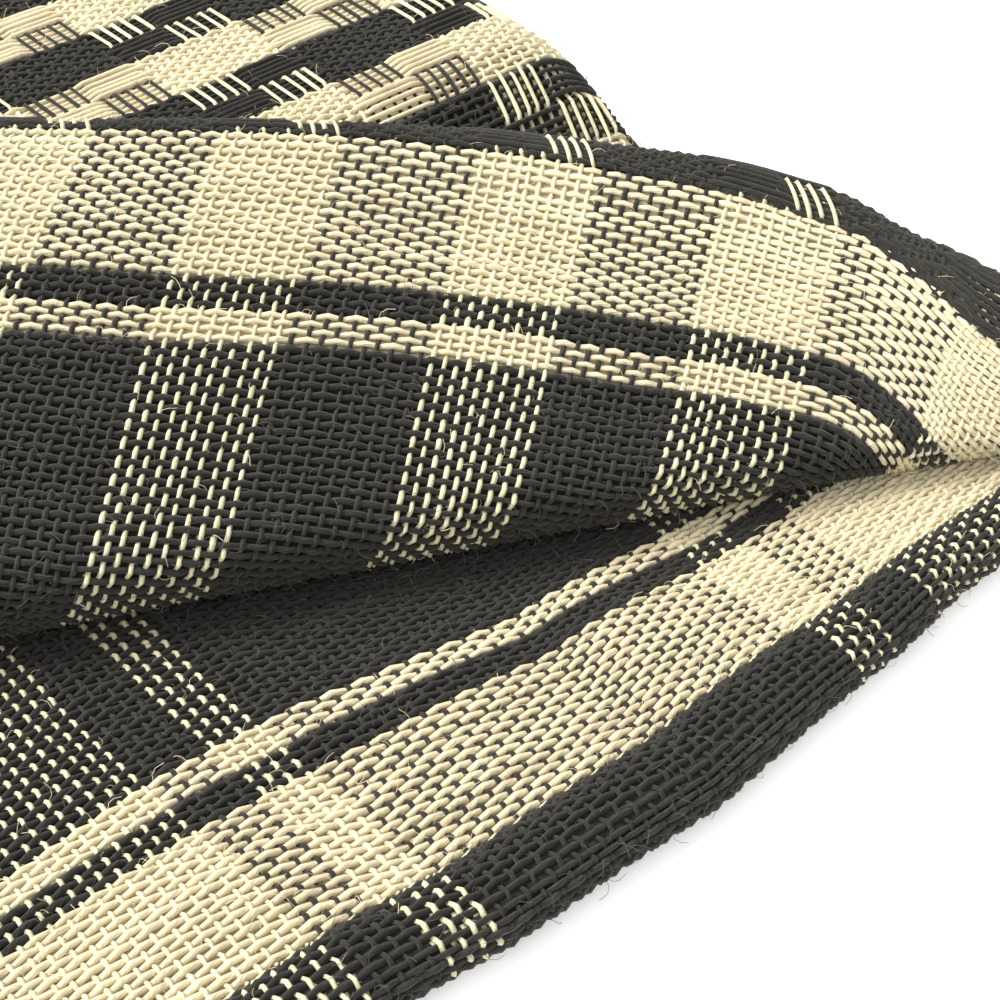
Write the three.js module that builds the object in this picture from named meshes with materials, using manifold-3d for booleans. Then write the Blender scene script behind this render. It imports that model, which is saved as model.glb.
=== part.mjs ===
// A keffiyeh headscarf: one square cotton cloth, folded into a flat stack, with a corner of its
// top sheet turned back so that the rolled hem and the striped border show.
// Millimetres, +Z up. The stack rests on z = 0. Inside this file x and y are measured from the
// tip, where the side fold, the turned-back fold and the front hem come together; the group
// moves the finished stack so that its origin is under the middle of its box.
import * as THREE from "three";
import Module from "manifold-3d";
import { mergeVertices } from "three/addons/utils/BufferGeometryUtils.js";

const wasm = await Module();
wasm.setup();

// Driving sizes
const WALL = 1; // cloth, with the air between its yarns
const GAP = 0.3; // between pieces that touch
const WIDTH = 275; // folded stack, left to right
const DEPTH = 305; // folded stack, front hem to back fold
const BORDER = 74; // the border strip that is folded under and shows in front
const STACK_HEIGHT = 8; // hidden layers
const STACK_FRONT = 50; // the hidden layers stop this far behind the front hem
const RAMP_START = 36; // where the top sheet begins to climb over the hidden layers
const HEM_WIDTH = 4.6;
const HEM_THICK = 2.2;
const HEM_CURL = THREE.MathUtils.degToRad(25); // the flap's hem bends down behind its crest
const FLAP_STEPS = 24;
const FOLD_START = new THREE.Vector2(1, 5); // the turned-back fold begins here
const FOLD_ANGLE = THREE.MathUtils.degToRad(23.5); // measured from the front hem
const TUCK = { most: 9, share: 0.45 }; // cloth under the roll: its depth, and its share of "along"

const CREAM = 0xe3d6ae;
const CHARCOAL = 0x2f2e2c;

// The turned-back flap, a row for each section square to its fold.
// along: distance from the tip; radius: of the roll; reach: plan distance to the crest of the
// hem; hem: height of that crest; third, twoThirds: how far the flap stands above a straight
// slope there.
const FLAP = [
  { along: 3.4, radius: 0.8, reach: 1.6, hem: 6.4, third: 0.2, twoThirds: 0.3 },
  { along: 5.6, radius: 1.1, reach: 3.3, hem: 8.2, third: 0.1, twoThirds: 0.2 },
  { along: 8.8, radius: 1.5, reach: 9.4, hem: 10.5, third: -0.2, twoThirds: -0.3 },
  { along: 13, radius: 1.8, reach: 13.3, hem: 11.5, third: -0.3, twoThirds: -0.9 },
  { along: 21.6, radius: 2.2, reach: 19, hem: 12.5, third: 0.1, twoThirds: -1.2 },
  { along: 32.6, radius: 2.6, reach: 25.2, hem: 12.8, third: 0.7, twoThirds: -0.5 },
  { along: 43, radius: 2.9, reach: 29.3, hem: 12.8, third: 1, twoThirds: 0.3 },
  { along: 54, radius: 3.2, reach: 32.8, hem: 12.8, third: 1.2, twoThirds: 0.8 },
  { along: 75, radius: 3.4, reach: 40.5, hem: 12.9, third: 1, twoThirds: 0.7 },
  { along: 88, radius: 3.4, reach: 45.2, hem: 12.8, third: 0.8, twoThirds: 0.5 },
  { along: 100, radius: 3.4, reach: 50, hem: 12.7, third: 0.5, twoThirds: 0.4 },
  { along: 114, radius: 3.3, reach: 55.7, hem: 12.8, third: 0.1, twoThirds: 0.3 },
  { along: 130, radius: 3.2, reach: 62, hem: 13, third: -0.3, twoThirds: 0.3 },
  { along: 165, radius: 3, reach: 76, hem: 12.7, third: -0.6, twoThirds: 0.1 },
  { along: 205, radius: 2.9, reach: 92, hem: 13, third: -0.8, twoThirds: -0.2 },
  { along: 248, radius: 2.8, reach: 108, hem: 12.7, third: -0.7, twoThirds: -0.2 },
  { along: 268, radius: 2.7, reach: 68, hem: 12.8, third: -0.6, twoThirds: -0.2 },
  { along: 284, radius: 2.6, reach: 36, hem: 13, third: -0.2, twoThirds: -0.1 },
  { along: 294, radius: 2.5, reach: 16, hem: 13.2, third: 0, twoThirds: 0 },
];
const CORNER_ROW = 15; // the row of FLAP at the far corner, where the left fold takes over

// The front hem of the lower sheet: how far its outer edge is drawn back towards the tip.
const FRONT_HEM = [
  { x: -BORDER, y: 0.6 },
  { x: -64, y: 0 },
  { x: -52, y: 0.2 },
  { x: -46, y: -0.3 },
  { x: -39, y: -0.2 },
  { x: -33, y: -0.3 },
  { x: -28, y: 0.4 },
  { x: -24, y: 0.9 },
  { x: -19, y: 1.3 },
  { x: -14, y: 2.2 },
  { x: -10, y: 2.5 },
  { x: -5, y: 3 },
  { x: -3.2, y: 2.9 },
];

// The loop of hem at the tip, from the lower sheet's hem up to the flap's.
const TIP_LOOP = [
  { x: 0.4, y: 3.2, z: 1.5 },
  { x: 1.9, y: 4.2, z: 2.2 },
  { x: 2.7, y: 5.4, z: 3.2 },
  { x: 2.2, y: 6.8, z: 4.6 },
];

// Edges of the hidden layers, from the table up: each bundle of folds stands back a little
// differently from the outline of the stack.
const BUNDLES = [
  { setBack: 1.2 },
  { setBack: 0.2 },
  { setBack: 1.8 },
  { setBack: 0.7 },
  { setBack: 2.3 },
  { setBack: 1 },
];
const GROOVE = 1.3;
const STACK_CORNER = 11;

const along = new THREE.Vector2(-Math.cos(FOLD_ANGLE), Math.sin(FOLD_ANGLE));
const back = new THREE.Vector2(Math.sin(FOLD_ANGLE), Math.cos(FOLD_ANGLE));

// Height of the underside of the top sheet: on the lower sheet in front, on the stack behind.
function support(y) {
  const rise = THREE.MathUtils.smoothstep(y, RAMP_START, STACK_FRONT - 0.5);
  return WALL + GAP + (STACK_HEIGHT - WALL) * rise;
}

// A place in plan, given by its distance along the turned-back fold and behind it.
function plan(a, h) {
  return FOLD_START.clone().addScaledVector(along, a).addScaledVector(back, h);
}

function interpolate(rows, key, value, column) {
  const after = rows.findIndex((row) => row[key] >= value);
  if (after === 0) return rows[0][column];
  if (after < 0) return rows.at(-1)[column];
  const [p, q] = [rows[after - 1], rows[after]];
  const t = (value - p[key]) / (q[key] - p[key]);
  return THREE.MathUtils.lerp(p[column], q[column], t);
}

// A closed mesh from a grid of quads given by their corner indices.
function meshOf(name, vertices, quads, color) {
  const geometry = new THREE.BufferGeometry();
  geometry.setAttribute(
    "position",
    new THREE.Float32BufferAttribute(vertices.flatMap((v) => v.toArray()), 3),
  );
  geometry.setIndex(quads.flatMap(([a, b, c, d]) => [a, b, c, a, c, d]));
  const flat = geometry.toNonIndexed();
  flat.computeVertexNormals();
  const material = new THREE.MeshStandardMaterial({ color, roughness: 0.95, metalness: 0 });
  const mesh = new THREE.Mesh(flat, material);
  mesh.name = name;
  return mesh;
}

// Cloth from rows of points on its upper face; under(point, normal) gives the lower face.
// Rows run front to back and points left to right, or any grid whose normal points up and out.
function cloth(name, rows, color, under = (p, n) => p.clone().addScaledVector(n, -WALL)) {
  const count = rows[0].length;
  const upper = rows.flat();
  const at = (i, j) => {
    const row = rows[THREE.MathUtils.clamp(i, 0, rows.length - 1)];
    return row[THREE.MathUtils.clamp(j, 0, count - 1)];
  };
  const lower = upper.map((p, k) => {
    const i = Math.floor(k / count);
    const j = k % count;
    const across = at(i, j + 1).clone().sub(at(i, j - 1));
    const onward = at(i + 1, j).clone().sub(at(i - 1, j));
    return under(p, across.cross(onward).normalize());
  });
  const quads = [];
  const shift = upper.length;
  for (let i = 0; i < rows.length - 1; i++)
    for (let j = 0; j < count - 1; j++) {
      const [a, b] = [i * count + j, i * count + j + 1];
      const [d, c] = [a + count, b + count];
      quads.push([a, b, c, d], [d + shift, c + shift, b + shift, a + shift]);
    }
  const rim = [];
  for (let j = 0; j < count; j++) rim.push(j);
  for (let i = 1; i < rows.length; i++) rim.push(i * count + count - 1);
  for (let j = count - 2; j >= 0; j--) rim.push((rows.length - 1) * count + j);
  for (let i = rows.length - 2; i > 0; i--) rim.push(i * count);
  rim.forEach((a, k) => {
    const b = rim[(k + 1) % rim.length];
    quads.push([b, a, a + shift, b + shift]);
  });
  return meshOf(name, [...upper, ...lower], quads, color);
}

// A closed tube through rings of points, with flat ends.
function tube(name, rings, color) {
  const sides = rings[0].length;
  const vertices = rings.flat();
  const quads = [];
  for (let i = 0; i < rings.length - 1; i++)
    for (let j = 0; j < sides; j++) {
      const next = (j + 1) % sides;
      quads.push([i * sides + j, i * sides + next, (i + 1) * sides + next, (i + 1) * sides + j]);
    }
  const last = (rings.length - 1) * sides;
  for (let j = 1; j < sides - 1; j += 2) {
    const k = Math.min(j + 2, sides - 1);
    quads.push([0, k, j + 1, j], [last, last + j, last + j + 1, last + k]);
  }
  return meshOf(name, vertices, quads, color);
}

// A rolled hem, or the rounded edge of a fold, through centre points, each with its direction
// across the edge.
function roundedEdge(name, path, sides = 10) {
  const rings = path.map(({ centre, across }, i) => {
    const before = path[Math.max(i - 1, 0)].centre;
    const after = path[Math.min(i + 1, path.length - 1)].centre;
    const forward = after.clone().sub(before).normalize();
    const wide = across.clone().addScaledVector(forward, -across.dot(forward)).normalize();
    const thick = forward.clone().cross(wide);
    return Array.from({ length: sides }, (_, k) => {
      const turn = (2 * Math.PI * k) / sides;
      const p = centre
        .clone()
        .addScaledVector(wide, (HEM_WIDTH / 2) * Math.cos(turn))
        .addScaledVector(thick, (HEM_THICK / 2) * Math.sin(turn));
      p.z = Math.max(p.z, 0);
      return p;
    });
  });
  return tube(name, rings, CHARCOAL);
}

// The section of the flap at one row: heights h behind the fold against z.
function flapSection(row) {
  const tuck = Math.min(TUCK.most, TUCK.share * row.along) - GAP;
  const r = row.radius;
  const foot = Math.min(1.4 * r, 0.6 * tuck);
  const lieAt = (h) => [h, support(plan(row.along, h).y)];
  const base = lieAt(foot)[1];
  const top = base + 2 * r;
  const slope = (share, lift) => {
    const h = THREE.MathUtils.lerp(0.9 * r, row.reach, share);
    return [h, THREE.MathUtils.lerp(top, row.hem, share) + lift];
  };
  const controls = [
    lieAt(tuck),
    lieAt((tuck + foot) / 2),
    lieAt(foot),
    [0.35 * r, base + 0.3 * r],
    [0, base + r],
    [0.3 * r, base + 1.65 * r],
    slope(0.12, row.third * 0.3),
    slope(1 / 3, row.third),
    slope(2 / 3, row.twoThirds),
    [row.reach, row.hem - HEM_THICK / 2],
  ];
  return new THREE.SplineCurve(controls.map(([h, z]) => new THREE.Vector2(h, z)));
}

// The flap's upper face at one row, from the tuck under the roll up to its hem.
function flapRow(row) {
  const curve = flapSection(row);
  const clear = (HEM_WIDTH / 2 + 2 * GAP) / curve.getLength();
  return Array.from({ length: FLAP_STEPS + 1 }, (_, k) => {
    const p = curve.getPointAt((1 - clear) * (k / FLAP_STEPS));
    const q = plan(row.along, p.x);
    return new THREE.Vector3(q.x, q.y, p.y);
  });
}

// Lower sheet: the border strip, face up on the table, its underside flat.
function lowerSheet() {
  const left = -BORDER + HEM_WIDTH + GAP;
  const steps = 14;
  const rows = [];
  const depths = [0, 4, 9, 14, 20, 27, 31, 34, 37, 40, 44, 80, 130, 190, 250, DEPTH - 3];
  for (const depth of depths) {
    const row = [];
    for (let i = 0; i <= steps; i++) {
      const tipFront = FRONT_HEM.at(-1).y + HEM_WIDTH + GAP;
      const right = -(support(tipFront + depth) + WALL) / 2 - GAP - 0.3;
      const x = THREE.MathUtils.lerp(left, right, i / steps);
      const front = interpolate(FRONT_HEM, "x", x, "y") + HEM_WIDTH + GAP;
      const wave = depth < 30 ? 0.12 * Math.sin(x / 5 + depth / 7) : 0;
      row.push(new THREE.Vector3(x, front + depth, WALL + wave));
    }
    rows.push(row);
  }
  const last = rows.at(-1);
  last.forEach((p) => (p.y = DEPTH - 3));
  return cloth("lower_sheet", rows, CREAM, (p) => new THREE.Vector3(p.x, p.y, 0));
}

// Top sheet: it lies on the lower sheet, climbs over the hidden layers and wraps the side fold.
function topSheet() {
  const xs = [-WIDTH + HEM_WIDTH + GAP, -255, -235, -210, -185, -160, -138, -116, -95];
  xs.push(-78, -62, -48, -36, -26, -18, -12, -8);
  const rampLines = [RAMP_START, 39, 41.5, 44, 46.5, STACK_FRONT - 0.5];
  const shares = [0.08, 0.2, 0.35, 0.5, 0.65, 0.8, 0.92, 0.985, 1];
  const turns = 8;
  const frontOf = (x) => {
    const slant = Math.cos(FOLD_ANGLE) - TUCK.share * Math.sin(FOLD_ANGLE);
    const nearTip = (FOLD_START.x - x) / slant;
    const most = TUCK.most / TUCK.share;
    if (nearTip < most) return plan(nearTip, TUCK.share * nearTip).y;
    const a = (FOLD_START.x + TUCK.most * Math.sin(FOLD_ANGLE) - x) / Math.cos(FOLD_ANGLE);
    return plan(a, TUCK.most).y;
  };
  const last = rampLines.length;
  const rampY = (x, k) => {
    const start = frontOf(x) + GAP;
    return k === 0 ? start : Math.max(rampLines[k - 1], start + 1.5 * k);
  };
  const lines = [
    ...[0, ...rampLines].map((_, k) => ({ place: (x) => rampY(x, k), sink: 0 })),
    ...shares.map((share) => ({
      place: (x) => THREE.MathUtils.lerp(rampY(x, last), DEPTH, share),
      sink: share === 1 ? 1 : 0,
    })),
  ];
  const rows = lines.map(({ place, sink }) => {
    const row = xs.map((x) => {
      const y = place(x);
      return new THREE.Vector3(x, y, support(y) + WALL - sink);
    });
    const radius = (support(place(0)) + WALL) / 2;
    for (let k = 0; k <= turns; k++) {
      const turn = (Math.PI * k) / turns;
      const x = -radius + radius * Math.sin(turn);
      const z = radius + radius * Math.cos(turn) - (k < 3 ? sink : 0);
      row.push(new THREE.Vector3(x, place(Math.min(x, 0)), Math.max(z, 0)));
    }
    return row;
  });
  return cloth("top_sheet", rows, CHARCOAL);
}

// The hidden layers: one rounded stack with a groove between each bundle of folds.
function hiddenLayers() {
  const layer = STACK_HEIGHT / BUNDLES.length;
  const outline = (inset) => {
    const shape = new THREE.Shape();
    const [x0, x1] = [-WIDTH + 3 + inset, -6.5 - inset];
    const [y0, y1] = [STACK_FRONT + 0.5 + inset, DEPTH - 4 - inset];
    const c = STACK_CORNER;
    shape.moveTo(x0 + c, y0);
    shape.lineTo(x1 - c, y0);
    shape.absarc(x1 - c, y0 + c, c, -Math.PI / 2, 0, false);
    shape.absarc(x1 - c, y1 - c, c, 0, Math.PI / 2, false);
    shape.absarc(x0 + c, y1 - c, c, Math.PI / 2, Math.PI, false);
    shape.absarc(x0 + c, y0 + c, c, Math.PI, 1.5 * Math.PI, false);
    return shape.getSpacedPoints(72).slice(0, 72);
  };
  const rings = [];
  BUNDLES.forEach(({ setBack }, k) => {
    const levels = [
      [0.12, 0.45],
      [0.5, 0],
      [0.88, 0.45],
    ];
    if (k === 0) rings.push([0, setBack + 0.3]);
    for (const [rise, share] of levels) rings.push([(k + rise) * layer, setBack + share * GROOVE]);
    const next = BUNDLES[k + 1];
    const foot = next ? Math.max(setBack, next.setBack) + GROOVE : setBack + GROOVE + 1;
    rings.push([(k + 1) * layer, foot]);
  });
  const lifted = rings.map(([z, inset]) => outline(inset).map((p) => new THREE.Vector3(p.x, p.y, z)));
  return cutForLowerSheet(tube("hidden_layers", lifted, CHARCOAL));
}

// The stack rests on the lower sheet where that lies under it, and on the table elsewhere.
function cutForLowerSheet(mesh) {
  const cutter = new THREE.BoxGeometry(2 * BORDER, 2 * DEPTH, 2 * (WALL + GAP));
  cutter.translate(-BORDER - GAP + BORDER, DEPTH, 0);
  const cut = solidOf(mesh.geometry).subtract(solidOf(cutter)).getMesh();
  const geometry = new THREE.BufferGeometry();
  geometry.setAttribute("position", new THREE.Float32BufferAttribute(cut.vertProperties, 3));
  geometry.setIndex(new THREE.Uint32BufferAttribute(cut.triVerts, 1));
  mesh.geometry = geometry.toNonIndexed();
  mesh.geometry.computeVertexNormals();
  return mesh;
}

function solidOf(geometry) {
  const bare = geometry.clone();
  bare.deleteAttribute("normal");
  bare.deleteAttribute("uv");
  const merged = mergeVertices(bare, 1e-4);
  return new wasm.Manifold(
    new wasm.Mesh({
      numProp: 3,
      vertProperties: new Float32Array(merged.attributes.position.array),
      triVerts: new Uint32Array(merged.index.array),
    }),
  );
}

// The middle of the flap's hem at one row; it curls on over the back of its crest.
function flapHemPoint(row, toSide) {
  const curve = flapSection(row);
  const end = curve.getPointAt(1);
  const rising = curve.getTangentAt(1);
  const q = plan(row.along, end.x);
  const curled = new THREE.Vector2(rising.x, rising.y).rotateAround(new THREE.Vector2(), -HEM_CURL);
  const across = toSide
    ? new THREE.Vector3(along.x, along.y, -0.3)
    : new THREE.Vector3(back.x * curled.x, back.y * curled.x, curled.y);
  return { centre: new THREE.Vector3(q.x, q.y, end.y), across };
}

function frontHemPath() {
  return FRONT_HEM.map(({ x, y }) => ({
    centre: new THREE.Vector3(x, y + HEM_WIDTH / 2, HEM_THICK / 2 - 0.2),
    across: new THREE.Vector3(0, 1, 0),
  }));
}

function sideHemPath() {
  const x = -BORDER + HEM_WIDTH / 2;
  return [HEM_WIDTH + 0.6 + GAP, 12, 20, 28, RAMP_START - 3].map((y) => ({
    centre: new THREE.Vector3(x, y, HEM_THICK / 2 - 0.2),
    across: new THREE.Vector3(-1, 0, 0),
  }));
}

function flapHemPath() {
  const loop = TIP_LOOP.map(({ x, y, z }, i) => ({
    centre: new THREE.Vector3(x, y, z),
    across: new THREE.Vector3(-0.3, 0.7, 0.5 + 0.2 * i),
  }));
  return [...loop, ...FLAP.slice(0, CORNER_ROW + 1).map((row) => flapHemPoint(row, false))];
}

function flapLeftFoldPath() {
  const outward = new THREE.Vector3(along.x, along.y, 0).multiplyScalar(HEM_WIDTH * 0.7);
  return FLAP.slice(CORNER_ROW).map((row) => {
    const point = flapHemPoint(row, true);
    point.centre.add(outward);
    return point;
  });
}

function topLeftFoldPath() {
  const x = -WIDTH + HEM_WIDTH / 2;
  return [146, 180, 220, 260, DEPTH - 1].map((y) => ({
    centre: new THREE.Vector3(x, y, STACK_HEIGHT + GAP + HEM_THICK / 2),
    across: new THREE.Vector3(-1, 0, 0),
  }));
}

const scarf = new THREE.Group();
scarf.add(
  lowerSheet(),
  topSheet(),
  hiddenLayers(),
  cloth("turned_flap", FLAP.map(flapRow), CHARCOAL),
  roundedEdge("front_hem", frontHemPath()),
  roundedEdge("side_hem", sideHemPath()),
  roundedEdge("flap_hem", flapHemPath()),
  roundedEdge("flap_left_fold", flapLeftFoldPath()),
  roundedEdge("top_left_fold", topLeftFoldPath()),
);
const middle = new THREE.Box3().setFromObject(scarf).getCenter(new THREE.Vector3());
scarf.position.set(-middle.x, -middle.y, 0);

export default scarf;
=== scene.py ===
"""A folded keffiyeh headscarf of cream and charcoal cotton, seen close to its turned-back corner.

Sizes are millimetres unless a name says otherwise; MM turns them into Blender's metres.
Places on the cloth are measured from the tip, where the side fold, the turned-back fold and
the front hem come together: x grows to the right, y from the front hem to the back fold.
Places in the weave are counted in yarns: warp yarns from the side fold leftwards, weft rows
from the inner edge of the front hem inwards.
"""
import math

import bpy
import numpy as np
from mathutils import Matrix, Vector


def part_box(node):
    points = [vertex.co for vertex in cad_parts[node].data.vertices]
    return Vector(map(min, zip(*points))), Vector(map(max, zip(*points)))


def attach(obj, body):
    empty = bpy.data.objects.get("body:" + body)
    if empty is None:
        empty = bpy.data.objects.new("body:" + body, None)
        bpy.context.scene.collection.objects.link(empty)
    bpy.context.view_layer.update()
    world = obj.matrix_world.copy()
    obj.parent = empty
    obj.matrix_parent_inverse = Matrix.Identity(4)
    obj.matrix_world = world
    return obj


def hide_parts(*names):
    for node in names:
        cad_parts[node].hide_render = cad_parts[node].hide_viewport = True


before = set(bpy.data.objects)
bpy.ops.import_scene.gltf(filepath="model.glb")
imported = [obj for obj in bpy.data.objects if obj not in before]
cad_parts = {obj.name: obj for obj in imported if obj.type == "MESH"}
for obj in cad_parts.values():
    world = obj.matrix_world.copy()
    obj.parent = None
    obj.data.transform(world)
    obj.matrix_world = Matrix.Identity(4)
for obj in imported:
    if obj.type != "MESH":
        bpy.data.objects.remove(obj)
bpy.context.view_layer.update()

MM = 0.001

# The weave
WARP_PITCH = 0.8
ROW_PITCH = 0.46
WARP_RADIUS = 0.15
WEFT_RADIUS = 0.215
WEFT_FLATNESS = 0.72  # a weft yarn is pressed flat to this share of its width
WARP_CREST = 0.165  # a yarn's middle stands this far above or below the cloth where it crosses
WEFT_CREST = 0.125
FIBRE_LENGTH = 0.75
FIBRE_RADIUS = 0.011
STEPS = 2  # points along a yarn for each yarn that it crosses

# The folded stack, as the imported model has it
WALL = 1.0
GAP = 0.3
WIDTH = 275
DEPTH = 305
BORDER = 74
STACK_HEIGHT = 8
STACK_FRONT = 50
RAMP_START = 36
HEM_WIDTH = 4.6
HEM_THICK = 2.2
HEM_CORE = 0.9  # share of a hem's size that its cloth takes up, under the yarns
HEM_MIDDLE = 0.9  # height of the front hem's middle above the table
FOLD_START = np.array([1.0, 5.0])
FOLD_ANGLE = math.radians(23.5)
TUCK_MOST = 9
TUCK_SHARE = 0.45
TUCK_CLOTH = 12.0  # the most cloth of the flap that runs round the roll and under it

FLAP_COLUMNS = ("along", "radius", "reach", "hem", "third", "two_thirds")
FLAP = np.array([
    (3.4, 0.8, 1.6, 6.4, 0.2, 0.3),
    (5.6, 1.1, 3.3, 8.2, 0.1, 0.2),
    (8.8, 1.5, 9.4, 10.5, -0.2, -0.3),
    (13, 1.8, 13.3, 11.5, -0.3, -0.9),
    (21.6, 2.2, 19, 12.5, 0.1, -1.2),
    (32.6, 2.6, 25.2, 12.8, 0.7, -0.5),
    (43, 2.9, 29.3, 12.8, 1, 0.3),
    (54, 3.2, 32.8, 12.8, 1.2, 0.8),
    (75, 3.4, 40.5, 12.9, 1, 0.7),
    (88, 3.4, 45.2, 12.8, 0.8, 0.5),
    (100, 3.4, 50, 12.7, 0.5, 0.4),
    (114, 3.3, 55.7, 12.8, 0.1, 0.3),
    (130, 3.2, 62, 13, -0.3, 0.3),
    (165, 3, 76, 12.7, -0.6, 0.1),
    (205, 2.9, 92, 13, -0.8, -0.2),
    (248, 2.8, 108, 12.7, -0.7, -0.2),
    (268, 2.7, 68, 12.8, -0.6, -0.2),
    (284, 2.6, 36, 13, -0.2, -0.1),
    (294, 2.5, 16, 13.2, 0, 0),
])
CORNER_ALONG = 248
LAST_ALONG = 294

# How far each bundle of hidden folds stands back from the outline of the stack, from the table up
BUNDLES = (1.2, 0.2, 1.8, 0.7, 2.3, 1)
GROOVE = 1.3
STACK_CORNER = 11

# How far a warp yarn of the flap has moved along the fold by the time it reaches it, against
# where it leaves the hem.
WARP_SLANT = np.array([
    (3.4, 2.4), (6.8, 5), (14, 9.5), (26, 11.6), (40, 13.7), (54, 15), (100, 22), (246, 45),
])

# How far the front hem's outer edge is drawn back towards the tip
FRONT_HEM = np.array([
    (-74, 0.6), (-64, 0), (-52, 0.2), (-46, -0.3), (-39, -0.2), (-33, -0.3), (-28, 0.4),
    (-24, 0.9), (-19, 1.3), (-14, 2.2), (-10, 2.5), (-5, 2.8), (-3.2, 2.9), (0, 3.1), (3, 3.4),
])

# The front hem narrows towards the tip, and the rows behind it draw together.
FRONT_SHARE = np.array([(-30, 1), (-18, 0.82), (-8, 0.66), (3, 0.6)])
LOWER_PITCH = np.array([
    (-74, 0.46), (-61, 0.47), (-50, 0.49), (-45, 0.49), (-33, 0.41), (-26, 0.39), (-15.6, 0.35),
    (0, 0.33),
])

# Stripes, as counts of yarns: cream first, then charcoal, and so on in turn.
ROW_STRIPES = (19, 4, 4)
WARP_STRIPES = (20, 4, 4, 30, 4, 4, 20)
GROUP = 10  # yarns in one block of the field
FIELD_ROW = 75  # rows from the hem to the field
FIELD_SHIFT = (3, 15)  # where a cream block of the field starts
FLAP_GROUP = 9  # where the flap's first cream warp group starts
FIELD_PITCH = 0.49  # the top sheet's rows lie a little more open

ALONG = np.array([-math.cos(FOLD_ANGLE), math.sin(FOLD_ANGLE)])
BACK = np.array([math.sin(FOLD_ANGLE), math.cos(FOLD_ANGLE)])

top_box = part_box("top_sheet")
TIP = np.array([top_box[1].x / MM, top_box[1].y / MM - DEPTH, 0.0])


# ---------------------------------------------------------------- the shape of the cloth

def smooth_step(value, low, high):
    t = np.clip((value - low) / (high - low), 0, 1)
    return t * t * (3 - 2 * t)


def support(y):
    """Height of the underside of the top sheet: low in front, on the hidden layers behind."""
    return WALL + GAP + (STACK_HEIGHT - WALL) * smooth_step(y, RAMP_START, STACK_FRONT - 0.5)


def smooth_table(xs, table_x, table_y):
    """A smooth curve through a table, flat beyond its ends."""
    slopes = np.gradient(table_y, table_x)
    xs = np.clip(xs, table_x[0], table_x[-1])
    k = np.clip(np.searchsorted(table_x, xs) - 1, 0, len(table_x) - 2)
    width = table_x[k + 1] - table_x[k]
    t = (xs - table_x[k]) / width
    rise = (
        (2 * t**3 - 3 * t**2 + 1) * table_y[k] + (t**3 - 2 * t**2 + t) * width * slopes[k]
        + (3 * t**2 - 2 * t**3) * table_y[k + 1] + (t**3 - t**2) * width * slopes[k + 1]
    )
    return rise


def waves(x, y, size, seed):
    """Slow, uneven waves between about -1 and 1."""
    draw = np.random.default_rng(seed)
    total = np.zeros(np.broadcast(x, y).shape)
    for _ in range(7):
        turn, phase = draw.uniform(0, math.tau, 2)
        reach = size * draw.uniform(0.7, 2.2)
        total = total + np.sin((x * math.cos(turn) + y * math.sin(turn)) * math.tau / reach + phase)
    return total / 3.2


def spline(points, per_span=14):
    """Points on a smooth curve through the given ones."""
    points = np.asarray(points, float)
    padded = np.vstack([points[:1], points, points[-1:]])
    t = np.linspace(0, 1, per_span, endpoint=False)[:, None]
    spans = []
    for p0, p1, p2, p3 in zip(padded, padded[1:], padded[2:], padded[3:]):
        v0, v1 = (p2 - p0) / 2, (p3 - p1) / 2
        spans.append(
            (2 * p1 - 2 * p2 + v0 + v1) * t**3 + (-3 * p1 + 3 * p2 - 2 * v0 - v1) * t**2
            + v0 * t + p1
        )
    return np.vstack([*spans, points[-1:]])


def lengths(path):
    steps = np.linalg.norm(np.diff(path, axis=0), axis=1)
    return np.concatenate([[0], np.cumsum(steps)])


def plan(a, h):
    """A place in plan, from its distance along the turned-back fold and behind it."""
    a, h = np.broadcast_arrays(a, h)
    return FOLD_START + a[..., None] * ALONG + h[..., None] * BACK


def flap_section(a):
    """The flap's section at one distance along its fold: h behind the fold against height z."""
    row = {
        name: float(smooth_table(np.array(a), FLAP[:, 0], FLAP[:, k]))
        for k, name in enumerate(FLAP_COLUMNS)
    }
    if a > CORNER_ALONG:
        row["reach"] = np.interp(a, FLAP[:, 0], FLAP[:, 2])
    r, reach = row["radius"], row["reach"]
    tuck = min(TUCK_MOST, TUCK_SHARE * a) - GAP
    foot = min(1.4 * r, 0.6 * tuck)
    rest = [(h, float(support(plan(a, h)[1]))) for h in (tuck, (tuck + foot) / 2, foot)]
    base = rest[-1][1]
    top = base + 2 * r

    def slope(share, lift):
        return (0.9 * r + (reach - 0.9 * r) * share, top + (row["hem"] - top) * share + lift)

    controls = rest + [
        (0.35 * r, base + 0.3 * r), (0, base + r), (0.3 * r, base + 1.65 * r),
        slope(0.12, row["third"] * 0.3), slope(1 / 3, row["third"]),
        slope(2 / 3, row["two_thirds"]), (reach, row["hem"] - HEM_THICK / 2),
    ]
    return spline(controls)


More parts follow.
